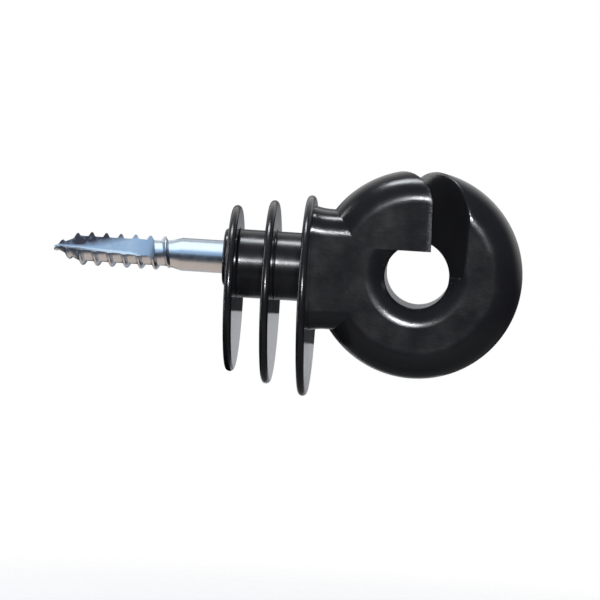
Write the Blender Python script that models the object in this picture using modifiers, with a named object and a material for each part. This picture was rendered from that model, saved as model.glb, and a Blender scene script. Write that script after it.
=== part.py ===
"""Ring insulator for an electric fence, with a wood screw moulded into it.

Two pieces, as on the real object: one plastic moulding (ring head, neck, core and three
drip sheds) and one steel screw that the plastic is moulded round.

Frame, in metres: the origin is on the screw's axis, at the face that stops against the post.
+X runs along the screw towards the ring, +Z is up, and the ring's hole runs along Y.
"""
import math

import bmesh
import bpy

# Screw: measured along its axis from the post face, outwards to the point
SHANK_DIAMETER = 0.0063
SHANK_EXPOSED = 0.0081
SHANK_TAPER_LENGTH = 0.0016
SHANK_TAPER_END_DIAMETER = 0.0054
THREADED_LENGTH = 0.0231
THREAD_DIAMETER = 0.0065
THREAD_ROOT_DIAMETER = 0.00485
THREAD_PITCH = 0.00281
THREAD_BASE_WIDTH = 0.0013
THREAD_CREST_WIDTH = 0.0003
THREAD_SUNK = 0.0003
THREAD_FROM_TIP = 0.0016
THREAD_FIRST_SHARE = 0.4
THREAD_LAST_SHARE = 0.1
THREAD_RUN_OUT = 0.0014
THREAD_START_ANGLE = math.radians(180)
POINT_LENGTH = 0.0049
POINT_TIP_DIAMETER = 0.0008
FLUTE_TO_THREAD_END = 0.0081
FLUTE_PAST_AXIS = 0.0002
FLUTE_FLOOR_AT_TIP = 0.00035
FLUTE_TILT = math.radians(2.2)
FLUTE_MILL_RADIUS = 0.0044

# Screw: the end that is held inside the plastic
ANCHOR_COVER = 0.0016
ANCHOR_LENGTH = 0.003
ANCHOR_INSET = 0.0018
INSERT_CLEARANCE = 0.0003

# Plastic: core and drip sheds
BODY_DROP = 0.001
CORE_DIAMETER = 0.0131
BOSS_DIAMETER = 0.011
BOSS_LENGTH = 0.0014
BOSS_EDGE_RADIUS = 0.0006
SHED_COUNT = 3
SHED_PITCH = 0.0071
SHED_THICKNESS = 0.0016
SHED_FIRST_DIAMETER = 0.0319
SHED_DIAMETER_STEP = 0.0033
SHED_FIRST_DROP = 0.00486
SHED_DROP_STEP = 0.00028
SHED_LEAN = math.radians(0.7)

# Plastic: neck and ring head
NECK_HEIGHT = 0.0227
NECK_EDGE_RADIUS = 0.004
NECK_FACE_STEP = 0.0001
RING_SETBACK = 0.00005
RING_DIAMETER = 0.0401
RING_THICKNESS = 0.013
HOLE_DIAMETER = 0.0123
HOLE_LAND_LENGTH = 0.007
HOLE_MOUTH_DIAMETER = 0.0182

# Plastic: the slanted slot that lets the wire into the hole
SLOT_WIDTH = 0.0051
SLOT_ANGLE = math.radians(43.5)
SLOT_SHIFT = -0.0002
SLOT_FLOOR_HEIGHT = 0.0003
LIP_DROP = 0.00115

# How finely round shapes are divided
CORE_SEGMENTS = 40
SHED_SEGMENTS = 56
RING_SEGMENTS = 72
SCREW_SEGMENTS = 24
ARC_STEPS = 8
MERGE_DISTANCE = 0.000001
CUT_MARGIN = 0.002

# Places that follow from the sizes above
SHED_FIRST_X = BOSS_LENGTH + SHED_THICKNESS / 2
SHED_LAST_X = SHED_FIRST_X + (SHED_COUNT - 1) * SHED_PITCH
NECK_START_X = SHED_LAST_X + SHED_THICKNESS / 2
NECK_DEPTH = RING_THICKNESS - 2 * NECK_FACE_STEP
RING_X = NECK_START_X + RING_SETBACK + RING_DIAMETER / 2
RING_Z = -BODY_DROP
ANCHOR_X = NECK_START_X + ANCHOR_INSET
ANCHOR_DIAMETER = NECK_DEPTH - 2 * (ANCHOR_COVER + INSERT_CLEARANCE)
TIP_X = -(SHANK_EXPOSED + SHANK_TAPER_LENGTH + THREADED_LENGTH)

# Turns that lay a shape made along Z along X or along Y
QUARTER_TURN = math.pi / 2
ALONG_X = (0.0, QUARTER_TURN, 0.0)
ALONG_Y = (QUARTER_TURN, 0.0, 0.0)


def clear_scene():
    for scene_object in list(bpy.data.objects):
        bpy.data.objects.remove(scene_object, do_unlink=True)


def new_collection(name):
    collection = bpy.data.collections.new(name)
    bpy.context.scene.collection.children.link(collection)
    return collection


def new_material(name, colour, roughness, metallic):
    material = bpy.data.materials.new(name)
    material.use_nodes = True
    shader = material.node_tree.nodes["Principled BSDF"]
    shader.inputs["Base Color"].default_value = (*colour, 1.0)
    shader.inputs["Roughness"].default_value = roughness
    shader.inputs["Metallic"].default_value = metallic
    material.diffuse_color = (*colour, 1.0)
    return material


def mark_as_tool(tool):
    """A tool only shapes other objects, so it isn't a piece of the insulator."""
    tool.hide_render = True
    tool.display_type = "WIRE"


def turned(name, profile, segments, collection):
    """A solid of revolution about Z: the profile's points are (radius, height), top to bottom."""
    mesh = bpy.data.meshes.new(name)
    points = [(radius, 0.0, height) for radius, height in profile]
    edges = [(index, index + 1) for index in range(len(points) - 1)]
    mesh.from_pydata(points, edges, [])
    turned_object = bpy.data.objects.new(name, mesh)
    collection.objects.link(turned_object)
    screw = turned_object.modifiers.new("Turn", "SCREW")
    screw.axis = "Z"
    screw.angle = math.tau
    screw.steps = segments
    screw.render_steps = segments
    screw.use_merge_vertices = True
    screw.merge_threshold = MERGE_DISTANCE
    screw.use_smooth_shade = True
    return turned_object


def arc(centre_radius, centre_height, radius, start_degrees, end_degrees):
    """Points of an arc in a turned profile; 0 degrees points away from the axis."""
    points = []
    for step in range(ARC_STEPS + 1):
        angle = math.radians(start_degrees + (end_degrees - start_degrees) * step / ARC_STEPS)
        points.append((centre_radius + radius * math.cos(angle), centre_height + radius * math.sin(angle)))
    return points


def block(name, size, collection, centre=(0.0, 0.0, 0.0)):
    """A box of the given size, with its centre given from its object's origin."""
    mesh = bpy.data.meshes.new(name)
    shape = bmesh.new()
    bmesh.ops.create_cube(shape, size=1.0)
    bmesh.ops.scale(shape, vec=size, verts=shape.verts)
    bmesh.ops.translate(shape, vec=centre, verts=shape.verts)
    shape.to_mesh(mesh)
    shape.free()
    box = bpy.data.objects.new(name, mesh)
    collection.objects.link(box)
    return box


def combine(target, tool, operation):
    boolean = target.modifiers.new(f"{operation.title()} {tool.name}", "BOOLEAN")
    boolean.operation = operation
    boolean.solver = "EXACT"
    boolean.object = tool
    mark_as_tool(tool)


def make_core(collection):
    """The round core that joins the sheds, a little below the screw's axis."""
    radius = CORE_DIAMETER / 2
    profile = [(0.0, SHED_LAST_X), (radius, SHED_LAST_X), (radius, SHED_FIRST_X), (0.0, SHED_FIRST_X)]
    core = turned("insulator_body", profile, CORE_SEGMENTS, collection)
    core.rotation_euler = ALONG_X
    core.location = (0.0, 0.0, -BODY_DROP)
    return core


def make_boss(tools):
    """The boss round the screw that stops against the post, rounded at its outer edge."""
    radius = BOSS_DIAMETER / 2
    edge = arc(radius - BOSS_EDGE_RADIUS, BOSS_EDGE_RADIUS, BOSS_EDGE_RADIUS, 0, -90)
    profile = [(0.0, SHED_FIRST_X), (radius, SHED_FIRST_X)] + edge + [(0.0, 0.0)]
    boss = turned("boss", profile, CORE_SEGMENTS, tools)
    boss.rotation_euler = ALONG_X
    return boss


def make_shed(index, tools):
    """One drip shed: a thin disc with a round rim, hung low on the core."""
    half_thickness = SHED_THICKNESS / 2
    radius = (SHED_FIRST_DIAMETER + index * SHED_DIAMETER_STEP) / 2
    rim = arc(radius - half_thickness, 0.0, half_thickness, 90, -90)
    profile = [(0.0, half_thickness)] + rim + [(0.0, -half_thickness)]
    shed = turned(f"shed_{index + 1}", profile, SHED_SEGMENTS, tools)
    shed.rotation_euler = (0.0, QUARTER_TURN - SHED_LEAN, 0.0)
    drop = SHED_FIRST_DROP + index * SHED_DROP_STEP
    shed.location = (SHED_FIRST_X + index * SHED_PITCH, 0.0, -BODY_DROP - drop)
    return shed


def make_neck(tools):
    """The rounded bar from the last shed into the ring, ending short of the hole."""
    end_x = RING_X - HOLE_MOUTH_DIAMETER / 2 - NECK_FACE_STEP
    length = end_x - SHED_LAST_X
    edge_radius = min(NECK_EDGE_RADIUS, NECK_DEPTH / 2 - NECK_FACE_STEP)
    neck = block("neck", (length, NECK_DEPTH, NECK_HEIGHT), tools)
    shape = bmesh.new()
    shape.from_mesh(neck.data)
    long_edges = [edge for edge in shape.edges if abs(edge.verts[0].co.x - edge.verts[1].co.x) > length / 2]
    bmesh.ops.bevel(
        shape,
        geom=long_edges,
        offset=edge_radius,
        segments=ARC_STEPS,
        profile=0.5,
        affect="EDGES",
    )
    shape.to_mesh(neck.data)
    shape.free()
    neck.location = (SHED_LAST_X + length / 2, 0.0, RING_Z)
    return neck


def make_ring(tools):
    """The ring head before its hole is cut: a disc with a half-round edge."""
    half_thickness = RING_THICKNESS / 2
    edge = arc(RING_DIAMETER / 2 - half_thickness, 0.0, half_thickness, 90, -90)
    profile = [(0.0, half_thickness)] + edge + [(0.0, -half_thickness)]
    ring = turned("ring", profile, RING_SEGMENTS, tools)
    ring.rotation_euler = ALONG_Y
    ring.location = (RING_X, 0.0, RING_Z)
    return ring


def slot_block(name, across, width, bottom, tools):
    """A block in line with the slot: across is its centre's distance from the slot's middle plane."""
    height = RING_DIAMETER
    through_ring = (RING_THICKNESS + 2 * CUT_MARGIN) / math.cos(SLOT_ANGLE)
    length = through_ring + SLOT_WIDTH * math.tan(SLOT_ANGLE)
    box = block(name, (width, length, height), tools)
    box.rotation_euler = (0.0, 0.0, SLOT_ANGLE)
    box.location = (
        RING_X + SLOT_SHIFT + across * math.cos(SLOT_ANGLE),
        across * math.sin(SLOT_ANGLE),
        RING_Z + bottom + height / 2,
    )
    return box


def make_hole_cutter(tools):
    """The wire's hole, flared at both faces; the lip at the end of the front arm is left standing."""
    land = HOLE_DIAMETER / 2
    half_land = HOLE_LAND_LENGTH / 2
    flare_depth = RING_THICKNESS / 2 - half_land
    flare = (HOLE_MOUTH_DIAMETER / 2 - land) / flare_depth
    end = RING_THICKNESS / 2 + CUT_MARGIN
    wide = land + flare * (end - half_land)
    profile = [(0.0, end), (wide, end), (land, half_land), (land, -half_land), (wide, -end), (0.0, -end)]
    hole = turned("hole_cutter", profile, RING_SEGMENTS, tools)
    hole.rotation_euler = ALONG_Y
    hole.location = (RING_X, 0.0, RING_Z)
    lip = slot_block("lip_keeper", -RING_DIAMETER / 2, RING_DIAMETER, land - LIP_DROP, tools)
    combine(hole, lip, "DIFFERENCE")
    return hole


def screw_insert_profile(clearance):
    """The screw's end inside the plastic: its anchor head, down to where the plain shank starts."""
    shank = SHANK_DIAMETER / 2 + clearance
    anchor = ANCHOR_DIAMETER / 2 + clearance
    top = ANCHOR_X + ANCHOR_LENGTH + clearance
    return [(0.0, top), (anchor, top), (anchor, ANCHOR_X - clearance), (shank, ANCHOR_X - clearance)]


def make_screw_cavity(tools):
    """Room for the screw in the plastic, open at the post face."""
    bore = SHANK_DIAMETER / 2 + INSERT_CLEARANCE
    profile = screw_insert_profile(INSERT_CLEARANCE) + [(bore, -CUT_MARGIN), (0.0, -CUT_MARGIN)]
    cavity = turned("screw_cavity", profile, SCREW_SEGMENTS, tools)
    cavity.rotation_euler = ALONG_X
    return cavity


def make_body(parts, tools, material):
    body = make_core(parts)
    for index in range(SHED_COUNT):
        combine(body, make_shed(index, tools), "UNION")
    combine(body, make_boss(tools), "UNION")
    combine(body, make_neck(tools), "UNION")
    combine(body, make_ring(tools), "UNION")
    combine(body, make_hole_cutter(tools), "DIFFERENCE")
    slot = slot_block("slot_cutter", 0.0, SLOT_WIDTH, SLOT_FLOOR_HEIGHT, tools)
    combine(body, slot, "DIFFERENCE")
    combine(body, make_screw_cavity(tools), "DIFFERENCE")
    body.data.materials.append(material)
    return body


def root_radius(height):
    """Radius of the screw under its thread, at a height along its axis."""
    full = THREAD_ROOT_DIAMETER / 2
    tip = POINT_TIP_DIAMETER / 2
    share = min(1.0, (height - TIP_X) / POINT_LENGTH)
    return tip + (full - tip) * share


def thread_size(height, start, end):
    """How much of the full thread stands at a height: it grows over the point and runs out at its end."""
    grown = min(1.0, (height - start) / POINT_LENGTH)
    left_to_run = min(1.0, (end - height) / THREAD_RUN_OUT)
    return (THREAD_FIRST_SHARE + (1.0 - THREAD_FIRST_SHARE) * grown) * max(left_to_run, THREAD_LAST_SHARE)


def thread_section(tools):
    """The thread's outline across its run: broad at the root, narrow at the crest."""
    depth = (THREAD_DIAMETER - THREAD_ROOT_DIAMETER) / 2
    corners = [
        (-THREAD_SUNK, -THREAD_BASE_WIDTH / 2),
        (-THREAD_SUNK, THREAD_BASE_WIDTH / 2),
        (depth, THREAD_CREST_WIDTH / 2),
        (depth, -THREAD_CREST_WIDTH / 2),
    ]
    curve = bpy.data.curves.new("thread_section", "CURVE")
    curve.dimensions = "2D"
    curve.fill_mode = "NONE"
    spline = curve.splines.new("POLY")
    spline.points.add(len(corners) - 1)
    for point, (outwards, along) in zip(spline.points, corners):
        point.co = (outwards, along, 0.0, 1.0)
    spline.use_cyclic_u = True
    section = bpy.data.objects.new("thread_section", curve)
    tools.objects.link(section)
    return section


def make_thread(tools):
    """The thread as a ridge wound round the screw's root, right-handed."""
    start = TIP_X + THREAD_FROM_TIP
    end = TIP_X + THREADED_LENGTH
    turns = (end - start) / THREAD_PITCH
    point_count = round(turns * SCREW_SEGMENTS) + 1
    curve = bpy.data.curves.new("thread_path", "CURVE")
    curve.dimensions = "3D"
    curve.twist_mode = "Z_UP"
    curve.use_fill_caps = True
    spline = curve.splines.new("POLY")
    spline.points.add(point_count - 1)
    for index, point in enumerate(spline.points):
        share = index / (point_count - 1)
        height = start + (end - start) * share
        angle = THREAD_START_ANGLE + math.tau * turns * share
        radius = root_radius(height)
        point.co = (radius * math.cos(angle), radius * math.sin(angle), height, 1.0)
        point.radius = thread_size(height, start, end)
    section = thread_section(tools)
    curve.bevel_mode = "OBJECT"
    curve.bevel_object = section
    path = bpy.data.objects.new("thread_path", curve)
    tools.objects.link(path)
    return curve_to_mesh(path, section, "thread", tools)


def curve_to_mesh(path, section, name, tools):
    """A closed mesh of a swept curve, which then makes way for it."""
    bpy.context.view_layer.update()
    evaluated = path.evaluated_get(bpy.context.evaluated_depsgraph_get())
    mesh = bpy.data.meshes.new_from_object(evaluated)
    shape = bmesh.new()
    shape.from_mesh(mesh)
    bmesh.ops.remove_doubles(shape, verts=shape.verts, dist=MERGE_DISTANCE)
    bmesh.ops.recalc_face_normals(shape, faces=shape.faces)
    shape.to_mesh(mesh)
    shape.free()
    swept = bpy.data.objects.new(name, mesh)
    swept.matrix_world = path.matrix_world
    tools.objects.link(swept)
    bpy.data.objects.remove(path)
    bpy.data.objects.remove(section)
    return swept


def make_flute_cutters(tools):
    """A quarter of the point is milled away, so that the screw drills its own start."""
    length = THREADED_LENGTH - FLUTE_TO_THREAD_END
    height = THREAD_DIAMETER
    straight = block(
        "flute_cutter",
        (length + CUT_MARGIN, THREAD_DIAMETER, height),
        tools,
        centre=((length - CUT_MARGIN) / 2, FLUTE_PAST_AXIS - THREAD_DIAMETER / 2, height / 2),
    )
    straight.location = (TIP_X, 0.0, FLUTE_FLOOR_AT_TIP)
    mill_profile = [(0.0, height), (FLUTE_MILL_RADIUS, height), (FLUTE_MILL_RADIUS, 0.0), (0.0, 0.0)]
    mill = turned("flute_end_cutter", mill_profile, RING_SEGMENTS, tools)
    mill.location = (
        TIP_X + length * math.cos(FLUTE_TILT),
        FLUTE_PAST_AXIS - FLUTE_MILL_RADIUS,
        FLUTE_FLOOR_AT_TIP - length * math.sin(FLUTE_TILT),
    )
    for cutter in (straight, mill):
        cutter.rotation_euler = (0.0, FLUTE_TILT, 0.0)
    return straight, mill


def make_screw(parts, tools, material):
    shank = SHANK_DIAMETER / 2
    root = THREAD_ROOT_DIAMETER / 2
    profile = screw_insert_profile(0.0) + [
        (shank, -SHANK_EXPOSED),
        (SHANK_TAPER_END_DIAMETER / 2, TIP_X + THREADED_LENGTH),
        (root, TIP_X + THREADED_LENGTH - THREAD_RUN_OUT),
        (root, TIP_X + POINT_LENGTH),
        (POINT_TIP_DIAMETER / 2, TIP_X),
        (0.0, TIP_X),
    ]
    screw = turned("wood_screw", profile, SCREW_SEGMENTS, parts)
    screw.rotation_euler = ALONG_X
    thread = make_thread(tools)
    thread.rotation_euler = ALONG_X
    combine(screw, thread, "UNION")
    for cutter in make_flute_cutters(tools):
        combine(screw, cutter, "DIFFERENCE")
    screw.data.materials.append(material)
    return screw


def main():
    clear_scene()
    parts = new_collection("ring_fence_insulator")
    tools = new_collection("shaping_tools")
    plastic = new_material("black_plastic", (0.015, 0.015, 0.017), 0.35, 0.0)
    zinc = new_material("zinc_plated_steel", (0.60, 0.63, 0.68), 0.25, 1.0)
    reference = bpy.data.objects.new("post_face_centre", None)
    reference.empty_display_size = CORE_DIAMETER
    parts.objects.link(reference)
    for piece in (make_body(parts, tools, plastic), make_screw(parts, tools, zinc)):
        piece.parent = reference


main()
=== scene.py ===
# %% [markdown]
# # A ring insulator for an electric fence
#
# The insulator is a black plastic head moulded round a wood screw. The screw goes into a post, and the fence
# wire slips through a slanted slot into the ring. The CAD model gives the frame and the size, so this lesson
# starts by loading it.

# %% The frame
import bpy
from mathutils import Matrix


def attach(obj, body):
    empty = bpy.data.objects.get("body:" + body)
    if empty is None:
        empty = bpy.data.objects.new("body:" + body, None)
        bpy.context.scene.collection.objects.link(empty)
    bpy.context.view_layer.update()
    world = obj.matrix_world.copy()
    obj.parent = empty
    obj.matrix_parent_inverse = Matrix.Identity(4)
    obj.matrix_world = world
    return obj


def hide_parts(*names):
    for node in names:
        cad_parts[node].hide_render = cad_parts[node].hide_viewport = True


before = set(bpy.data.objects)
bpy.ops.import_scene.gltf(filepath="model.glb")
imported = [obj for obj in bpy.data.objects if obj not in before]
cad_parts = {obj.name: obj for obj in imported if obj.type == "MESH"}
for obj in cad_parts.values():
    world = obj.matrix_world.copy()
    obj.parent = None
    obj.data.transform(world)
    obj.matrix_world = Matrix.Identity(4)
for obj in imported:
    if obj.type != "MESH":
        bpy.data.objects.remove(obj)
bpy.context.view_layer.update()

# %% [markdown]
# ## Working rules
#
# Operators act on everything that is selected, and the loaded CAD pieces start out selected. One small helper
# leaves a single piece selected and active, and every later step calls it first. Sizes are written in
# millimetres, because that is how such a part is measured, and turned into metres by one factor.

# %% Selecting one piece
import math
import bmesh
import bpy
from mathutils import Euler, Quaternion, Vector

mm = 0.001


def select_only(piece):
    """Leave this piece as the only selected one, and make it active."""
    bpy.ops.object.select_all(action="DESELECT")
    piece.select_set(True)
    bpy.context.view_layer.objects.active = piece


bpy.ops.object.select_all(action="DESELECT")
print("selected now:", len(bpy.context.selected_objects))

# %% [markdown]
# ## Turning on the lathe
#
# Core, sheds, ring and screw are all round, so each could be a cylinder that is bevelled again and again. It
# is simpler to do what a lathe does: trace half of the outline, point by point, and spin it about the axis.
# The outline is given as (radius, along) pairs, so that it reads like a drawing of the half section.


# %% Lathe helpers
def arc(centre, radius, start, end, steps):
    """Points of an arc in a half section; 0 degrees points away from the axis, 90 degrees along it."""
    turns = [math.radians(start + (end - start) * step / steps) for step in range(steps + 1)]
    return [(centre[0] + radius * math.cos(turn), centre[1] + radius * math.sin(turn)) for turn in turns]


def trace(points):
    """Start a new piece from one point, and extrude it along the others."""
    bpy.ops.object.select_all(action="DESELECT")
    bpy.ops.mesh.primitive_plane_add(size=mm, location=(0, 0, 0))
    bpy.ops.object.mode_set(mode="EDIT")
    bpy.ops.mesh.select_mode(type="VERT")
    bpy.ops.mesh.merge(type="CENTER")
    bpy.ops.transform.translate(value=points[0])
    for here, there in zip(points, points[1:]):
        bpy.ops.mesh.extrude_region_move(TRANSFORM_OT_translate={"value": there - here})
    return bpy.context.object


def lathe(name, outline, centre, axis, out, steps):
    """Trace a half section from points (radius, along), and spin it about the axis through centre."""
    piece = trace([Vector(centre) + out * radius + axis * along for radius, along in outline])
    piece.name = name
    bpy.ops.mesh.select_all(action="SELECT")
    bpy.ops.mesh.spin(steps=steps, angle=math.tau, center=centre, axis=axis)
    bpy.ops.mesh.select_all(action="SELECT")
    bpy.ops.mesh.remove_doubles(threshold=0.001 * mm)
    bpy.ops.mesh.normals_make_consistent(inside=False)
    bpy.ops.object.mode_set(mode="OBJECT")
    print(name, "has", len(piece.data.polygons), "faces")
    return piece


# %% [markdown]
# ## The ring head
#
# The ring carries the wire: a thick disc with a rounded edge, slightly flatter than a half circle. It could
# be a torus with flattened sides. Turning it as a solid disc first and cutting the hole later keeps the two
# shapes simple, and the cutter can leave out the lip that stands at the end of the front arm.

# %% A solid disc with a rounded edge
along_x, along_y, up = Vector((1, 0, 0)), Vector((0, 1, 0)), Vector((0, 0, 1))
body_drop = 1.0 * mm
ring_radius = 20.05 * mm
ring_half = 6.5 * mm
ring_centre = Vector((37.3 * mm, 0, -body_drop))
edge_depth = 5.8 * mm
edge_middle = ring_radius - edge_depth

ring_outline = [(0, ring_half)]
for across, along in arc((0, 0), 1, 90, -90, 36):
    ring_outline.append((edge_middle + edge_depth * across, ring_half * along))
ring_outline += [(0, -ring_half)]
ring = lathe("ring_head", ring_outline, ring_centre, along_y, along_x, 208)

# %% [markdown]
# ## The hole and its flared mouths
#
# The hole has a straight land in the middle and opens at each face like a trumpet: a short cone rolls over
# into the face in a wide curve that catches the light. The roll could be a bevel after the cut. Here it is
# drawn into the cutter instead, because the mouth is only part of a circle: the front arm interrupts it.

# %% The hole cutter
land_radius = 6.15 * mm
land_half = 4.5 * mm
cone_turn = 50.0
lip_roll = 4.7 * mm
lip_start = 5.0
land_roll = 0.5 * mm
mouth_radius = land_radius + (ring_half - land_half) / math.tan(math.radians(cone_turn))
lip_radius = mouth_radius + lip_roll * math.tan(math.radians(cone_turn / 2))
land_shift = land_roll * math.tan(math.radians((90 - cone_turn) / 2))

mouth = arc((lip_radius, ring_half - lip_roll), lip_roll, 90 + lip_start, 90 + cone_turn, 12)
cutter_rise = 0.3 * mm
first = mouth[0]
mouth.insert(0, (first[0] + cutter_rise / math.tan(math.radians(lip_start)), first[1] + cutter_rise))
mouth.insert(0, (mouth[0][0], ring_half + 2 * mm))
mouth.insert(0, (0, ring_half + 2 * mm))
mouth += arc((land_radius + land_roll, land_half - land_shift), land_roll, 90 + cone_turn, 180, 4)
hole_outline = mouth + [(radius, -along) for radius, along in reversed(mouth)]
hole_cutter = lathe("hole_cutter", hole_outline, ring_centre, along_y, along_x, 208)

# %% [markdown]
# ## The slanted slot
#
# Wire enters through a slot that crosses the ring at a slant, so that a taut wire can't slip out again. A
# block turned about Z cuts it. A second, wider block on the left of the slot is taken out of the hole cutter
# first: what it protects becomes the lip that hangs into the hole at the end of the front arm. The exact
# Boolean numbers its faces differently from run to run, and later steps depend on those numbers. So each
# result is put in order by distance from the cursor, which stands off to one side where no two parts are
# equally far away.

# %% Cutting with blocks
slot_turn = math.radians(43.5)
slot_width = 5.1 * mm
slot_across = Vector((math.cos(slot_turn), math.sin(slot_turn), 0))
slot_middle = ring_centre + Vector((-0.2 * mm, 0, 0))
slot_length = 2 * (ring_half + 2 * mm) / math.cos(slot_turn) + slot_width * math.tan(slot_turn)


def slot_block(name, across, width, bottom):
    """A block in line with the slot, with its centre this far across from the slot's middle."""
    centre = slot_middle + slot_across * across + up * (bottom + ring_radius)
    bpy.ops.object.select_all(action="DESELECT")
    bpy.ops.mesh.primitive_cube_add(size=1, location=centre, rotation=(0, 0, slot_turn))
    block = bpy.context.object
    block.name = name
    block.scale = (width, slot_length, 2 * ring_radius)
    bpy.ops.object.transform_apply(location=True, rotation=True, scale=True)
    return block


bpy.context.scene.cursor.location = Vector((12.3, 45.7, 29.1)) * mm


def put_in_order(piece):
    """Number points, edges and faces by their distance from the cursor."""
    select_only(piece)
    bpy.ops.object.mode_set(mode="EDIT")
    bpy.ops.mesh.select_all(action="SELECT")
    bpy.ops.mesh.sort_elements(type="CURSOR_DISTANCE", elements={"VERT", "EDGE", "FACE"})
    bpy.ops.object.mode_set(mode="OBJECT")


def shape_with(piece, tool, operation):
    """Join a tool to a piece or cut it out, and throw the tool away."""
    select_only(piece)
    boolean = piece.modifiers.new("shape", "BOOLEAN")
    boolean.operation = operation
    boolean.solver = "EXACT"
    boolean.object = tool
    bpy.ops.object.modifier_apply(modifier=boolean.name)
    bpy.data.objects.remove(tool)
    put_in_order(piece)
    print(piece.name, operation.lower(), "leaves", len(piece.data.polygons), "faces")


lip_height = 5.0 * mm
slot_floor = 0.3 * mm
shape_with(hole_cutter, slot_block("lip_keeper", -ring_radius, 2 * ring_radius, lip_height), "DIFFERENCE")
shape_with(ring, hole_cutter, "DIFFERENCE")

# %% [markdown]
# ## Draft in the slot
#
# A moulded slot narrows a little towards its floor, or the mould's blade would not come out. The block is a
# plain box, so its lower corners are moved in towards the middle before it cuts. The two walls lean by unlike
# amounts, and one formula says where a wall stands at each height.

# %% The slot narrows towards its floor
draft_height = 14.0 * mm
drafts = {-1: 0.24 * mm, 1: 0.36 * mm}


def wall_across(side, height):
    """How far a wall of the slot stands from its middle, at a height above the ring's centre."""
    return slot_width / 2 - drafts[side] * (1 - (height - slot_floor) / draft_height)


slot_cutter = slot_block("slot_cutter", 0, slot_width, slot_floor)
for vertex in slot_cutter.data.vertices:
    side = 1 if (vertex.co - slot_middle).dot(slot_across) > 0 else -1
    vertex.co += slot_across * side * (wall_across(side, vertex.co.z - ring_centre.z) - slot_width / 2)
shape_with(ring, slot_cutter, "DIFFERENCE")

# %% [markdown]
# ## Softening the slot's edges
#
# A mould never gives a knife edge, and such a rounded edge draws a thin light line along the slot. The cut
# leaves slivers beside it, on which a bevel would fold over. So flat strips are merged into whole faces,
# points of the skin that lie close to the cut are welded onto it, and then the edges are bevelled in one go.

# %% Merging flat strips
select_only(ring)
bpy.ops.object.mode_set(mode="EDIT")
bpy.ops.mesh.select_all(action="SELECT")
bpy.ops.mesh.remove_doubles(threshold=0.005 * mm)
bpy.ops.mesh.dissolve_limited(angle_limit=math.radians(0.2))
bpy.ops.object.mode_set(mode="OBJECT")
print("ring has", len(ring.data.polygons), "faces")


# %% Finding the slot's faces and edges
touching = 0.02 * mm


def from_wall(point):
    """Distance of a point from the nearer wall of the slot."""
    place = point - slot_middle
    side = 1 if place.dot(slot_across) > 0 else -1
    return abs(abs(place.dot(slot_across)) - wall_across(side, place.z))


def from_axis(point):
    """Distance of a point from the axis of the ring's hole."""
    return math.hypot(point.x - ring_centre.x, point.z - ring_centre.z)


def in_slot(face):
    """Whether a face is a wall of the slot, its floor, or the level underside of the lip."""
    is_wall = abs(face.normal.dot(slot_across)) > 0.995
    is_level = abs(face.normal.z) > 0.9999
    return is_level or (is_wall and from_wall(face.calc_center_median()) < touching)


def shows(edge):
    """Whether an edge lies between the slot and the skin, on a wall or along the front of the floor."""
    if [in_slot(face) for face in edge.link_faces].count(True) != 1:
        return False
    middle = (edge.verts[0].co + edge.verts[1].co) / 2
    on_face = abs(middle.y) > ring_half - touching
    on_wall = from_wall(middle) < touching and (on_face or from_axis(middle) > lip_radius)
    on_floor = abs(middle.z - ring_centre.z - slot_floor) < 0.01 * mm and from_wall(middle) > touching
    return on_wall or (on_floor and abs(middle.y) > land_half)


# %% Welding and bevelling
edge_roll = 0.35 * mm


def pick(piece, kind, chosen):
    """In edit mode, select the points or edges that a test chooses."""
    bpy.ops.mesh.select_mode(type=kind)
    bpy.ops.mesh.select_all(action="DESELECT")
    shape = bmesh.from_edit_mesh(piece.data)
    shape.normal_update()
    parts = [part for part in (shape.verts if kind == "VERT" else shape.edges) if chosen(part)]
    for part in parts:
        part.select_set(True)
    shape.select_flush_mode()
    bmesh.update_edit_mesh(piece.data)
    print(piece.name, "picked", len(parts), kind.lower())


def beside_wall(vertex):
    """Whether a point of the rounded skin lies close to a wall of the slot, but not on it."""
    outside = from_axis(vertex.co) > edge_middle - 0.1 * mm and vertex.co.z > ring_centre.z
    return outside and touching < from_wall(vertex.co) < 1.2 * mm


select_only(ring)
bpy.ops.object.mode_set(mode="EDIT")
pick(ring, "VERT", beside_wall)
bpy.ops.mesh.remove_doubles(threshold=1.3 * edge_roll, use_unselected=True)
pick(ring, "EDGE", shows)
bpy.ops.mesh.bevel(offset=edge_roll, segments=3, profile=0.5, affect="EDGES")
bpy.ops.object.mode_set(mode="OBJECT")

# %% [markdown]
# ## Core and boss
#
# The core is a round bar that joins the sheds, and the short boss round the screw is what stops against the
# post. Where a shed meets the core the mould has a small fillet. A bevel along such a joint would have to
# follow a rough cut, so the outlines carry the fillets as little collars instead.

# %% The core with its collars
core_radius = 6.55 * mm
boss_length = 1.4 * mm
shed_thickness = 1.6 * mm
shed_pitch = 7.1 * mm
shed_places = [boss_length + shed_thickness / 2 + index * shed_pitch for index in range(3)]
collar = 0.35 * mm
sunk = 0.05 * mm
core_centre = Vector((0, 0, -body_drop))


def collar_before(radius, place):
    """The fillet on the post side of a shed."""
    return arc((radius + collar, place - shed_thickness / 2 + sunk - collar), collar, 180, 90, 6)


def collar_after(radius, place):
    """The fillet on the ring side of a shed."""
    return arc((radius + collar, place + shed_thickness / 2 - sunk + collar), collar, -90, -180, 6)


core_outline = [(0, shed_places[0])]
for place, next_place in zip(shed_places, shed_places[1:]):
    core_outline += collar_after(core_radius, place) + collar_before(core_radius, next_place)
core_outline += [(0, core_outline[-1][1])]
core = lathe("core", core_outline, core_centre, along_x, up, 160)

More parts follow.
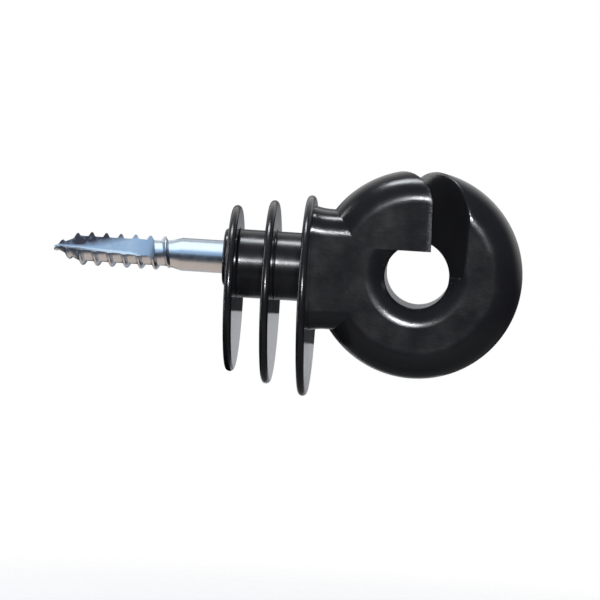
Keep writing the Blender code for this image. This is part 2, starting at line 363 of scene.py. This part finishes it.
# %% The boss
boss_radius = 5.5 * mm
boss_roll = 0.6 * mm
boss_outline = [(0, 0)] + arc((boss_radius - boss_roll, boss_roll), boss_roll, -90, 0, 8)
boss_outline += collar_before(boss_radius, shed_places[0])
boss_outline += [(0, boss_outline[-1][1])]
boss = lathe("boss", boss_outline, (0, 0, 0), along_x, up, 160)

# %% [markdown]
# ## Drip sheds
#
# Rain runs off three thin discs that hang low on the core, so that no wet path leads from the wire to the
# post. Each could be a squashed cylinder. Turning a flat outline with a round rim gives the same disc with
# even faces, and a loop makes all three, each a little wider and lower than the one before.

# %% Three sheds on the core
shed_lean = math.radians(0.7)
shed_axis = Vector((math.cos(shed_lean), 0, math.sin(shed_lean)))
shed_out = Vector((-math.sin(shed_lean), 0, math.cos(shed_lean)))
shed_radius, shed_radius_step = 15.95 * mm, 1.65 * mm
shed_drop, shed_drop_step = 4.86 * mm, 0.28 * mm
rim = shed_thickness / 2
for index, place in enumerate(shed_places):
    radius = shed_radius + index * shed_radius_step
    shed_centre = Vector((place, 0, -body_drop - shed_drop - index * shed_drop_step))
    shed_outline = [(0, rim)] + arc((radius - rim, 0), rim, 90, -90, 14) + [(0, -rim)]
    shape_with(core, lathe("shed", shed_outline, shed_centre, shed_axis, shed_out, 208), "UNION")
shape_with(core, boss, "UNION")

# %% [markdown]
# ## The neck
#
# A rounded bar carries the ring, flush with its two faces. A cube is set to size and its four long edges are
# bevelled until they are quarter rounds. It is a hair thinner than the ring, so that the faces don't lie in
# one plane, where joining them could fail. Next to the last shed it grows slightly taller, which a few
# extruded and scaled steps give.

# %% A bar with four rounded edges
neck_height = 22.7 * mm
neck_depth = 2 * ring_half - 0.004 * mm
neck_flare, neck_flare_length = 0.4 * mm, 3.0 * mm
shed_face = shed_places[-1] + shed_thickness / 2
neck_start = shed_face + neck_flare_length
neck_end = ring_centre.x - lip_radius - 0.5 * mm
bpy.ops.object.select_all(action="DESELECT")
bpy.ops.mesh.primitive_cube_add(size=1, location=((neck_start + neck_end) / 2, 0, -body_drop))
neck = bpy.context.object
neck.name = "neck"
neck.scale = (neck_end - neck_start, neck_depth, neck_height)
bpy.ops.object.transform_apply(location=True, rotation=True, scale=True)

# %% Rounding the edges and growing towards the shed
bpy.ops.object.mode_set(mode="EDIT")
for side, roll in ((1, 4.6 * mm), (-1, 4.0 * mm)):
    def long_edge(edge):
        runs_along = abs(edge.verts[0].co.x - edge.verts[1].co.x) > mm
        return runs_along and (edge.verts[0].co.z + body_drop) * side > neck_height / 2 - 0.01 * mm

    pick(neck, "EDGE", long_edge)
    bpy.ops.mesh.bevel(offset=roll, segments=14, profile=0.5, affect="EDGES")
pick(neck, "VERT", lambda vertex: abs(vertex.co.x - neck_start) < 0.01 * mm)
flare_steps = 6
grown = 1
for step in range(1, flare_steps + 1):
    size = 1 + 2 * neck_flare / neck_height * (step / flare_steps) ** 2
    bpy.ops.mesh.extrude_region_move(TRANSFORM_OT_translate={"value": (-neck_flare_length / flare_steps, 0, 0)})
    bpy.ops.transform.resize(value=(1, 1, size / grown), center_override=core_centre)
    grown = size
bpy.ops.mesh.extrude_region_move(TRANSFORM_OT_translate={"value": (-shed_thickness / 2, 0, 0)})
bpy.ops.object.mode_set(mode="OBJECT")
print("neck", len(neck.data.polygons), "faces")

# %% [markdown]
# ## One body
#
# All the plastic is a single moulding, so the pieces are joined into one skin, and room for the screw is cut
# out of it. The pieces could stay separate and overlap, but then a seam would show wherever two of them
# cross.

# %% Joining, and room for the screw
shank_radius = 3.15 * mm
anchor_radius = 4.5 * mm
anchor_start = 19.0 * mm
anchor_length = 3.0 * mm
gap = 0.12 * mm
cavity_outline = [
    (0, anchor_start + anchor_length + gap),
    (anchor_radius + gap, anchor_start + anchor_length + gap),
    (anchor_radius + gap, anchor_start - gap),
    (shank_radius + gap, anchor_start - gap),
    (shank_radius + gap, -1 * mm),
    (0, -1 * mm),
]
shape_with(core, neck, "UNION")
shape_with(core, ring, "UNION")
shape_with(core, lathe("cavity", cavity_outline, (0, 0, 0), along_x, up, 96), "DIFFERENCE")
body = core
body.name = "insulator_head"
body.data.name = "insulator_head"

# %% [markdown]
# ## Clean shading
#
# Joined shapes have long flat faces next to fine curves, and plain smooth shading would smear light over the
# flats. Edges sharper than 30 degrees stay sharp, and weighted normals let the big flat faces win elsewhere.


# %% Smooth, with crisp flats
def finish_shading(piece, sharp_angle):
    """Merge stray points, then shade smoothly except over sharp edges."""
    select_only(piece)
    bpy.ops.object.mode_set(mode="EDIT")
    bpy.ops.mesh.select_all(action="SELECT")
    bpy.ops.mesh.remove_doubles(threshold=0.002 * mm)
    bpy.ops.mesh.delete_loose()
    bpy.ops.object.mode_set(mode="OBJECT")
    bpy.ops.object.shade_smooth_by_angle(angle=math.radians(sharp_angle))
    weighted = piece.modifiers.new("flats", "WEIGHTED_NORMAL")
    weighted.keep_sharp = True
    bpy.ops.object.modifier_apply(modifier=weighted.name)
    shape = bmesh.new()
    shape.from_mesh(piece.data)
    open_edges = sum(not edge.is_manifold for edge in shape.edges)
    triangles = len(shape.calc_loop_triangles())
    print(piece.name, triangles, "triangles,", open_edges, "open edges, volume", shape.calc_volume() * 1e9)
    shape.free()


finish_shading(body, 30)

# %% [markdown]
# ## The screw's thread
#
# A thread could be a ridge swept along a helix and joined to a rod. Here one pitch of the outline is screwed
# along the axis instead: the Screw modifier turns and advances it, so root, flanks and crest come out as one
# skin. The turns are then welded, and the points are drawn in towards the tip and at the run-out.

# %% One pitch, screwed along the axis
pitch = 2.81 * mm
root = 2.425 * mm
ridge = 0.825 * mm
tip_x = -32.8 * mm
threaded = 23.1 * mm
flank = [(0.78 * mm, 0), (0.62 * mm, 0.06 * mm), (0.26 * mm, 0.68 * mm), (0.15 * mm, 0.79 * mm)]
thread_outline = [(-0.5 * pitch, 0)] + [(-x, height) for x, height in flank] + [(0, ridge)]
thread_outline += list(reversed(flank)) + [(0.5 * pitch, 0)]
# The crest passes the top of the screw 1.6 mm from the tip, so it passes the bottom half a pitch later.
first_crest = tip_x + 1.6 * mm - 1.5 * pitch
turns = 10
screw = trace([Vector((first_crest + x, 0, -root - height)) for x, height in thread_outline])
screw.name = "zinc_screw"
screw.data.name = "zinc_screw"
bpy.ops.object.mode_set(mode="OBJECT")
winding = screw.modifiers.new("winding", "SCREW")
winding.axis = "X"
winding.angle = math.tau
winding.screw_offset = pitch
winding.iterations = turns
winding.steps = 96
winding.render_steps = 96
bpy.ops.object.modifier_apply(modifier=winding.name)
print("thread", len(screw.data.vertices), "points")

# %% Welding the turns and trimming both ends
thread_end = tip_x + threaded
bpy.ops.object.mode_set(mode="EDIT")
bpy.ops.mesh.select_all(action="SELECT")
bpy.ops.mesh.remove_doubles(threshold=0.005 * mm)
for place, facing in ((tip_x, 1), (thread_end, -1)):
    bpy.ops.mesh.select_all(action="SELECT")
    bpy.ops.mesh.bisect(
        plane_co=(place, 0, 0), plane_no=(facing, 0, 0), use_fill=True, clear_inner=True, threshold=0.0001 * mm
    )
bpy.ops.mesh.select_all(action="SELECT")
bpy.ops.mesh.normals_make_consistent(inside=False)
bpy.ops.object.mode_set(mode="OBJECT")

# %% Drawing in the point and the run-out
point_length = 4.9 * mm
tip_radius = 0.16 * mm
run_out = 1.4 * mm


def grow(x, start, length, low):
    """A share that rises from low to 1 over a length."""
    return low + (1 - low) * min(1, max(0, (x - start) / length))


for vertex in screw.data.vertices:
    x, y, z = vertex.co
    radius = math.hypot(y, z)
    if radius > 0.1 * mm:
        drawn_root = tip_radius + (root - tip_radius) * grow(x, tip_x, point_length, 0)
        stands = grow(x, tip_x + 0.5 * mm, point_length, 0.6) * grow(-x, -thread_end, run_out, 0.0)
        scale = (drawn_root + max(0, radius - root) * stands) / radius
        vertex.co = (x, y * scale, z * scale)
print("tip trimmed at", tip_x, "thread ends at", thread_end)

# %% [markdown]
# ## Shank and anchor
#
# Behind the thread the screw widens over a short cone to its plain shank, which runs into the plastic and
# ends in a hidden head that the moulding grips. It is turned on the lathe like the rest, starting a little
# inside the thread's root so that the two skins cross cleanly.

# %% The plain shank
shank_exposed = 8.1 * mm
cone_radius = 2.7 * mm
shank_outline = [
    (0, anchor_start + anchor_length),
    (anchor_radius, anchor_start + anchor_length),
    (anchor_radius, anchor_start),
    (shank_radius, anchor_start),
    (shank_radius, -shank_exposed),
    (cone_radius, thread_end),
    (root - 0.06 * mm, thread_end - run_out - 0.3 * mm),
    (0, thread_end - run_out - 0.3 * mm),
]
shape_with(screw, lathe("shank", shank_outline, (0, 0, 0), along_x, up, 96), "UNION")

# %% [markdown]
# ## The cut point
#
# A quarter of the point is milled away, so that the screw drills its own start. A block takes out the
# straight part. Its back wall leans a little, and its floor tips towards the front and catches the light. A
# tapered mill, upright across the screw, leaves the long curved run-out where the cutter left the metal, and
# its taper continues the lean of the wall.

# %% Milling the flute
flute_length = 12.6 * mm
flute_turn = Euler((math.radians(5), math.radians(2.2), 0))
flute_floor = 0.35 * mm
flute_wall = 0.2 * mm
mill_radius = 9.0 * mm
mill_height = 6.5 * mm
wall_lean = mill_height * math.tan(math.radians(20))
run, deep, rise = flute_turn.to_matrix().transposed()
flute_start = Vector((tip_x, 0, flute_floor))
margin = 2 * mm

flute_centre = flute_start + run * (flute_length - margin) / 2 + rise * mill_height / 2
flute_centre += deep * (flute_wall - mill_height / 2)
bpy.ops.object.select_all(action="DESELECT")
bpy.ops.mesh.primitive_cube_add(size=1, location=flute_centre, rotation=flute_turn)
flute = bpy.context.object
flute.scale = (flute_length + margin, mill_height, mill_height)
bpy.ops.object.transform_apply(location=True, rotation=True, scale=True)
for vertex in flute.data.vertices:
    from_centre = vertex.co - flute_centre
    if from_centre.dot(deep) > 0 and from_centre.dot(rise) > 0:
        vertex.co += deep * wall_lean
shape_with(screw, flute, "DIFFERENCE")
mill_centre = flute_start + run * flute_length + deep * (flute_wall - mill_radius)
mill_top = mill_radius + wall_lean
mill_outline = [(0, mill_height), (mill_top, mill_height), (mill_radius, 0), (0, 0)]
shape_with(screw, lathe("mill", mill_outline, mill_centre, rise, run, 192), "DIFFERENCE")
finish_shading(screw, 32)

# %% [markdown]
# ## One unevenness for both finishes
#
# Neither moulded plastic nor plated steel is quite even. Broad patches vary the gloss, and a fine grain
# breaks up highlights. Both finishes need this at their own scale, so it is one node group with a size for
# each, and it puts out two values that vary over the surface.


# %% Node helpers
def link_all(tree, pairs):
    """Join pairs of sockets in a node tree."""
    for start, end in pairs:
        tree.links.new(start, end)


def noise_node(tree, scale, detail, roughness):
    """A noise texture, three-dimensional by default."""
    node = tree.nodes.new("ShaderNodeTexNoise")
    node.inputs["Scale"].default_value = scale
    node.inputs["Detail"].default_value = detail
    node.inputs["Roughness"].default_value = roughness
    return node


def spread(tree, value, low, high, to_low, to_high):
    """Map one range of a value onto another."""
    node = tree.nodes.new("ShaderNodeMapRange")
    node.inputs["From Min"].default_value = low
    node.inputs["From Max"].default_value = high
    node.inputs["To Min"].default_value = to_low
    node.inputs["To Max"].default_value = to_high
    tree.links.new(value, node.inputs["Value"])
    return node.outputs["Result"]


def times(tree, *values):
    """The product of some values, which is where several masks meet."""
    product = values[0]
    for value in values[1:]:
        node = tree.nodes.new("ShaderNodeMath")
        node.operation = "MULTIPLY"
        link_all(tree, [(product, node.inputs[0]), (value, node.inputs[1])])
        product = node.outputs["Value"]
    return product


# %% Node helpers for vectors and mixes
def vector_node(tree, operation, value, other):
    """One step of vector arithmetic with a fixed second vector."""
    node = tree.nodes.new("ShaderNodeVectorMath")
    node.operation = operation
    node.inputs[1].default_value = other
    tree.links.new(value, node.inputs[0])
    return node.outputs["Value" if operation in ("LENGTH", "DOT_PRODUCT") else "Vector"]


def reach_from(tree, place, centre, keep):
    """Distance from an axis: keep is 0 along that axis and 1 across it."""
    across = vector_node(tree, "MULTIPLY", vector_node(tree, "SUBTRACT", place, centre), keep)
    return vector_node(tree, "LENGTH", across, (0, 0, 0))


def blend_values(tree, share, first, second):
    """A value that goes from a first to a second, which may be a socket or a number."""
    node = tree.nodes.new("ShaderNodeMix")
    tree.links.new(share, node.inputs[0])
    for socket, value in ((node.inputs[2], first), (node.inputs[3], second)):
        if isinstance(value, (int, float)):
            socket.default_value = value
        else:
            tree.links.new(value, socket)
    return node.outputs[0]


def blend_colours(tree, share, first, second):
    """A colour that goes from a first to a second, which may be a socket or three numbers."""
    node = tree.nodes.new("ShaderNodeMix")
    node.data_type = "RGBA"
    tree.links.new(share, node.inputs[0])
    for socket, colour in ((node.inputs[6], first), (node.inputs[7], second)):
        if isinstance(colour, tuple):
            socket.default_value = (*colour, 1)
        else:
            tree.links.new(colour, socket)
    return node.outputs[2]


# %% The unevenness group
unevenness = bpy.data.node_groups.new("unevenness", "ShaderNodeTree")
unevenness.interface.new_socket("Place", in_out="INPUT", socket_type="NodeSocketVector")
for name in ("Patch Scale", "Grain Scale"):
    unevenness.interface.new_socket(name, in_out="INPUT", socket_type="NodeSocketFloat")
for name in ("Patch", "Grain"):
    unevenness.interface.new_socket(name, in_out="OUTPUT", socket_type="NodeSocketFloat")
group_in = unevenness.nodes.new("NodeGroupInput")
group_out = unevenness.nodes.new("NodeGroupOutput")
patch = noise_node(unevenness, 1, 4, 0.6)
grain = noise_node(unevenness, 1, 3, 0.55)
link_all(unevenness, [
    (group_in.outputs["Place"], patch.inputs["Vector"]),
    (group_in.outputs["Patch Scale"], patch.inputs["Scale"]),
    (group_in.outputs["Place"], grain.inputs["Vector"]),
    (group_in.outputs["Grain Scale"], grain.inputs["Scale"]),
    (patch.outputs["Fac"], group_out.inputs["Patch"]),
    (grain.outputs["Fac"], group_out.inputs["Grain"]),
])


def start_finish(name, patch_scale, grain_scale):
    """A material with its shader, the object's own coordinates and the unevenness group."""
    material = bpy.data.materials.new(name)
    material.use_nodes = True
    tree = material.node_tree
    shader = tree.nodes["Principled BSDF"]
    place = tree.nodes.new("ShaderNodeTexCoord")
    uneven = tree.nodes.new("ShaderNodeGroup")
    uneven.node_tree = unevenness
    uneven.inputs["Patch Scale"].default_value = patch_scale
    uneven.inputs["Grain Scale"].default_value = grain_scale
    tree.links.new(place.outputs["Object"], uneven.inputs["Place"])
    return material, tree, shader, place.outputs["Object"], uneven


def put_bump(tree, shader, height, distance):
    """Let a height shape the shading normal."""
    node = tree.nodes.new("ShaderNodeBump")
    node.inputs["Distance"].default_value = distance
    link_all(tree, [(height, node.inputs["Height"]), (node.outputs["Normal"], shader.inputs["Normal"])])


print("group", unevenness.name, "with", len(unevenness.nodes), "nodes")

# %% [markdown]
# ## Black plastic
#
# The plastic is nearly black with a satin gloss. The mould for core and sheds was turned, so fine marks run
# round them, and the sheds' faces and the land of the hole came out smoother than the rest. Ring and neck
# have a faint grain. The end of the front arm carries a lighter, rougher strip. Masks on the object's own
# coordinates say where each of these is, so one material does for the whole moulding.

# %% Where the plastic differs
plastic, tree, shader, place, uneven = start_finish("satin_black_plastic", 150, 3800)
axes = tree.nodes.new("ShaderNodeSeparateXYZ")
tree.links.new(place, axes.inputs[0])
from_core = reach_from(tree, place, core_centre, (0, 1, 1))
from_hole = reach_from(tree, place, ring_centre, (1, 0, 1))
is_turned = spread(tree, axes.outputs["X"], shed_face, shed_face + 0.3 * mm, 1, 0)
normal_x = vector_node(tree, "DOT_PRODUCT", place.node.outputs["Normal"], along_x)
is_shed = times(tree, is_turned, spread(tree, times(tree, normal_x, normal_x), 0.85, 0.97, 0, 1))
lip_level = lip_height - body_drop
is_land = times(
    tree,
    spread(tree, from_hole, land_radius + 0.1 * mm, land_radius + 0.4 * mm, 1, 0),
    spread(tree, axes.outputs["Z"], lip_level - 0.5 * mm, lip_level - 0.1 * mm, 1, 0),
)

# %% Marks, grain and gloss
turning = tree.nodes.new("ShaderNodeCombineXYZ")
link_all(tree, [(axes.outputs["X"], turning.inputs["X"]), (from_core, turning.inputs["Y"])])
marks = noise_node(tree, 5200, 2, 0.5)
tree.links.new(turning.outputs["Vector"], marks.inputs["Vector"])
depth = times(tree, marks.outputs["Fac"], spread(tree, is_shed, 0, 1, 0.5, 0.03))
grain_depth = 0.018 * mm
put_bump(tree, shader, blend_values(tree, is_turned, uneven.outputs["Grain"], depth), grain_depth)
shed_gloss, land_gloss, strip_gloss = 0.08, 0.15, 0.42
gloss = spread(tree, uneven.outputs["Patch"], 0.35, 0.65, 0.18, 0.27)
gloss = blend_values(tree, is_shed, gloss, shed_gloss)
gloss = blend_values(tree, is_land, gloss, land_gloss)

# %% A lighter, rougher strip at the arm end
strip_width = 0.9 * mm
across = vector_node(tree, "DOT_PRODUCT", vector_node(tree, "SUBTRACT", place, slot_middle), slot_across)
arm_end = -wall_across(-1, lip_height)
# A lighter, rougher strip along the end of the front arm.
arm_end_strip = times(
    tree,
    spread(tree, across, arm_end - strip_width, arm_end - 0.4 * strip_width, 0, 1),
    spread(tree, across, arm_end, arm_end + 0.2 * mm, 1, 0),
    spread(tree, axes.outputs["Y"], -5.0 * mm, -6.2 * mm, 0, 1),
    spread(tree, axes.outputs["Z"], 0, lip_level, 0, 1),
    spread(tree, uneven.outputs["Grain"], 0.35, 0.6, 0.1, 1),
)
skin = blend_colours(tree, uneven.outputs["Patch"], (0.0080, 0.0080, 0.0095), (0.0115, 0.0115, 0.0130))
skin = blend_colours(tree, arm_end_strip, skin, (0.055, 0.055, 0.060))
link_all(tree, [
    (skin, shader.inputs["Base Color"]),
    (blend_values(tree, arm_end_strip, gloss, strip_gloss), shader.inputs["Roughness"]),
])
body.data.materials.clear()
body.data.materials.append(plastic)
print(plastic.name, "has", len(tree.nodes), "nodes")

# %% [markdown]
# ## Zinc plating
#
# The screw is steel with a bright zinc coat that was passivated to a bluish white. A plain metal shader with
# one grey would look like chrome. Here the colour drifts between blue and white in patches, a fine grain
# dulls the mirror, and the milled wall near the point has painted shade, a colour made dark.

# %% The zinc's nodes
zinc, tree, shader, place, uneven = start_finish("blue_zinc_plating", 800, 3000)
axes = tree.nodes.new("ShaderNodeSeparateXYZ")
tree.links.new(place, axes.inputs[0])
# Painted shade: the milled wall near the point gets a dark colour.
painted_shade_near_point = times(
    tree,
    spread(tree, vector_node(tree, "DOT_PRODUCT", place, (1, 0, -3.4)), -30.5 * mm, -25 * mm, 1, 0),
    spread(tree, axes.outputs["Y"], flute_wall - 0.3 * mm, flute_wall - 0.1 * mm, 0, 1),
    spread(tree, axes.outputs["Z"], flute_floor - 0.1 * mm, flute_floor + 0.3 * mm, 0, 1),
    spread(tree, uneven.outputs["Patch"], 0.36, 0.52, 0.7, 1),
)
coat = blend_colours(tree, uneven.outputs["Patch"], (0.52, 0.63, 0.78), (0.74, 0.79, 0.83))
coat = blend_colours(tree, painted_shade_near_point, coat, (0.09, 0.075, 0.085))
link_all(tree, [
    (coat, shader.inputs["Base Color"]),
    (spread(tree, uneven.outputs["Patch"], 0.3, 0.7, 0.26, 0.34), shader.inputs["Roughness"]),
])
shader.inputs["Metallic"].default_value = 1
put_bump(tree, shader, uneven.outputs["Grain"], 0.003 * mm)
screw.data.materials.clear()
screw.data.materials.append(zinc)
print(zinc.name, "has", len(tree.nodes), "nodes")

# %% [markdown]
# ## Taking the CAD pieces' places
#
# The CAD model has a plain solid for each of the two pieces, and it stays the one that carries size, mass and
# contact. The new pieces only take over the looks, so each says which solid it stands for, which material
# slot it fills and which body it moves with. Nothing moves here, so both ride on the root.

# %% Riding on the frame
stand_ins = [
    (body, "insulator_body", "black_plastic"),
    (screw, "wood_screw", "zinc_plated_steel"),
]
for piece, node, slot in stand_ins:
    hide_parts(node)
    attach(piece, "root")
    print(piece.name, "stands for", node)

# %% [markdown]
# ## Camera
#
# The photo was taken with a long lens from a little above and a little to the ring's side, and it is turned
# by three degrees. The camera is placed by angles about a point on the part, which are easier to adjust than
# three coordinates, and the lens follows from how many pixels a metre covers at that point.

# %% The camera
aim = Vector((15.03 * mm, 0, -7.35 * mm))
azimuth, elevation, roll = math.radians(3.51), math.radians(5.85), math.radians(3.31)
distance = 1088.2 * mm
pixels_per_metre = 5214.5
image_width = 600


def direction(azimuth, elevation):
    """A unit vector; azimuth 0 is in front of the part, and positive azimuth is towards the ring."""
    level = math.cos(elevation)
    return Vector((math.sin(azimuth) * level, -math.cos(azimuth) * level, math.sin(elevation)))


camera_data = bpy.data.cameras.new("camera")
camera = bpy.data.objects.new("camera", camera_data)
bpy.context.scene.collection.objects.link(camera)
camera_data.sensor_width = 36
camera_data.lens = pixels_per_metre * distance * camera_data.sensor_width / image_width
camera_data.clip_start = 0.05
towards = direction(azimuth, elevation)
camera.location = aim + towards * distance
camera.rotation_mode = "QUATERNION"
camera.rotation_quaternion = (-towards).to_track_quat("-Z", "Y") @ Quaternion((0, 0, 1), roll)
bpy.context.scene.camera = camera
print("lens", round(camera_data.lens, 1))

# %% [markdown]
# ## Floor
#
# A pale floor lies below the frame's lower edge and takes the shadow in the other views. It could be a huge
# plane, but a disc that fades out towards its rim leaves the background clean. In reflections it is darker
# than it looks to the camera, because a black part over a white floor would lose its dark underside.

# %% The floor
floor_z = -90 * mm
floor_radius, fade_start, fade_end = 0.3, 0.13, 0.21
bpy.ops.object.select_all(action="DESELECT")
bpy.ops.mesh.primitive_circle_add(
    vertices=96, radius=floor_radius, fill_type="NGON", location=(15 * mm, 0, floor_z)
)
floor = bpy.context.object
floor.name = "floor"
floor_paint = bpy.data.materials.new("pale_floor")
floor_paint.use_nodes = True
tree = floor_paint.node_tree
shader = tree.nodes["Principled BSDF"]
shader.inputs["Roughness"].default_value = 0.9
path = tree.nodes.new("ShaderNodeLightPath")
coordinates = tree.nodes.new("ShaderNodeTexCoord")
from_middle = vector_node(tree, "LENGTH", coordinates.outputs["Object"], (0, 0, 0))
grey, pale, black = (0.10, 0.10, 0.10), (0.90, 0.90, 0.90), (0, 0, 0)
link_all(tree, [
    (blend_colours(tree, path.outputs["Is Camera Ray"], grey, pale), shader.inputs["Base Color"]),
    (spread(tree, from_middle, fade_start, fade_end, 1, 0), shader.inputs["Alpha"]),
])
floor.data.materials.append(floor_paint)

# %% [markdown]
# ## Cards
#
# Gloss shows whatever stands round the part. A pale card close behind it gives the sheds' faces their grey,
# with core and neck mirrored darkly before it; its upper part carries painted shade, a darker colour. A small
# warm card below the screw lights its underside.
# Both could be painted into the finishes, but then they would not follow the shape. They are hidden from the
# camera and cast no shadow, so the other views stay clear.


# %% Two cards that only reflections see
def stand_card(name, centre, width, height, turn, colour, glow):
    """A flat card on the stage, with a colour that takes light and a glow of its own."""
    bpy.ops.object.select_all(action="DESELECT")
    bpy.ops.mesh.primitive_plane_add(size=1, location=centre, rotation=turn)
    card = bpy.context.object
    card.name = name
    card.scale = (width, height, 1)
    card.visible_camera = False
    card.visible_shadow = False
    paint = bpy.data.materials.new(name)
    paint.use_nodes = True
    shader = paint.node_tree.nodes["Principled BSDF"]
    shader.inputs["Base Color"].default_value = (*colour, 1)
    shader.inputs["Roughness"].default_value = 1
    shader.inputs["Specular IOR Level"].default_value = 0
    shader.inputs["Emission Color"].default_value = (*glow, 1)
    shader.inputs["Emission Strength"].default_value = 1
    card.data.materials.append(paint)
    return card


below, at_back = Vector((-21, -5, -26)) * mm, Vector((16, 20, -9)) * mm
level, upright = (0, 0, 0), (math.pi / 2, 0, 0)
warm_card = stand_card("warm_card", below, 50 * mm, 50 * mm, level, black, (0.71, 0.55, 0.45))
back_card = stand_card("back_card", at_back, 58 * mm, 54 * mm, upright, pale, black)
# Painted shade: the back card's colour turns darker towards its top.
painted_shade_grey = (0.35, 0.35, 0.35)
tree = back_card.active_material.node_tree
axes = tree.nodes.new("ShaderNodeSeparateXYZ")
coordinates = tree.nodes.new("ShaderNodeTexCoord")
painted_shade_fade = blend_colours(tree, spread(tree, axes.outputs["Y"], -0.1, 0.35, 0, 1), pale, painted_shade_grey)
link_all(tree, [
    (coordinates.outputs["Object"], axes.inputs[0]),
    (painted_shade_fade, tree.nodes["Principled BSDF"].inputs["Base Color"]),
])

# %% [markdown]
# ## Light
#
# Each streak of light on the core and the neck is a lamp seen in the plastic. Two small soft boxes stand in
# front, a little above the camera, a broad one hangs overhead, and a tall narrow one at the left draws the
# line down the rims of the sheds. The screw is so much brighter that a photographer would flag these lamps
# off it and give it its own: a wide box above and a cool one at the front left. The card behind has one as
# well. Light linking does what the flags do, and the levels stay plain, so that a colour looks about as it is
# written.


# %% Soft boxes
def soft_box(name, azimuth, elevation, distance, width, height, power, colour):
    """A rectangular lamp that faces the part, placed by angles in degrees."""
    lamp_data = bpy.data.lights.new(name, "AREA")
    lamp_data.shape = "RECTANGLE"
    lamp_data.size = width
    lamp_data.size_y = height
    lamp_data.energy = power
    lamp_data.color = colour
    lamp = bpy.data.objects.new(name, lamp_data)
    way = direction(math.radians(azimuth), math.radians(elevation))
    lamp.location = aim + way * distance
    lamp.rotation_mode = "QUATERNION"
    lamp.rotation_quaternion = (-way).to_track_quat("-Z", "Y")
    bpy.context.scene.collection.objects.link(lamp)
    print(name, power, "W")
    return lamp


for_plastic = [
    soft_box("overhead_box", -100, 80, 0.9, 0.18, 0.45, 4.9, (0.93, 0.97, 1.0)),
    soft_box("left_box", -95, 10, 1.0, 0.08, 1.0, 3.0, (1.0, 1.0, 1.0)),
    soft_box("front_box", 1.5, 16.5, 1.2, 0.08, 0.05, 5.8, (0.95, 0.97, 1.0)),
    soft_box("right_box", 8, 16.5, 1.2, 0.08, 0.05, 7.0, (0.95, 0.97, 1.0)),
]
for_screw = [
    soft_box("sky_box", 0, 74, 0.6, 1.0, 0.81, 3.6, (0.95, 1.0, 0.98)),
    soft_box("cool_box", -30, 28, 0.6, 1.8, 0.34, 1.4, (0.50, 0.72, 1.0)),
]
for_card = [soft_box("card_box", 2, 13, 1.2, 0.04, 0.02, 9.0, (0.94, 0.96, 1.0))]


# %% Flags
def link_lamps(lamps, pieces, state):
    """Let lamps light only these pieces, or everything but them."""
    for lamp in lamps:
        flag = bpy.data.collections.new("flag_" + lamp.name)
        for piece in pieces:
            flag.objects.link(piece)
        lamp.light_linking.receiver_collection = flag
        for member in flag.collection_objects:
            member.light_linking.link_state = state
        print(lamp.name, state.lower(), [piece.name for piece in pieces])


link_lamps(for_plastic, [screw, back_card], "EXCLUDE")
link_lamps(for_screw + [warm_card], [screw], "INCLUDE")
link_lamps(for_card, [back_card], "INCLUDE")

# %% [markdown]
# ## The studio
#
# The camera sees plain white, as on the photo. Reflections see the same white where the backdrop stands,
# behind the part and above the table, and a dim room elsewhere: cool and lighter above, dark around the
# horizon. An even white world would be simpler, but black plastic in it turns grey.

# %% The studio around it
world = bpy.data.worlds.new("studio")
bpy.context.scene.world = world
world.use_nodes = True
tree = world.node_tree
background = tree.nodes["Background"]
coordinates = tree.nodes.new("ShaderNodeTexCoord")
axes = tree.nodes.new("ShaderNodeSeparateXYZ")
tree.links.new(coordinates.outputs["Generated"], axes.inputs[0])
ramp = tree.nodes.new("ShaderNodeValToRGB")
tree.links.new(spread(tree, axes.outputs["Z"], -1, 1, 0, 1), ramp.inputs["Fac"])
stops = [
    (0.00, (0.07, 0.07, 0.08)),
    (0.40, (0.04, 0.04, 0.05)),
    (0.50, (0.04, 0.04, 0.05)),
    (0.58, (0.08, 0.09, 0.10)),
    (1.00, (0.12, 0.13, 0.15)),
]
elements = ramp.color_ramp.elements
elements[0].position, elements[1].position = stops[0][0], stops[-1][0]
elements[0].color, elements[1].color = (*stops[0][1], 1), (*stops[-1][1], 1)
for position, colour in stops[1:-1]:
    elements.new(position).color = (*colour, 1)
white = (1, 1, 1)
behind = times(
    tree, spread(tree, axes.outputs["Y"], 0.3, 0.8, 0, 1), spread(tree, axes.outputs["Z"], -0.15, 0.15, 0, 1)
)
room = blend_colours(tree, behind, ramp.outputs["Color"], white)
path = tree.nodes.new("ShaderNodeLightPath")
tree.links.new(blend_colours(tree, path.outputs["Is Camera Ray"], room, white), background.inputs["Color"])
background.inputs["Strength"].default_value = 1
bpy.context.scene.view_settings.view_transform = "Standard"
print("world", world.name, "with", len(stops), "stops")
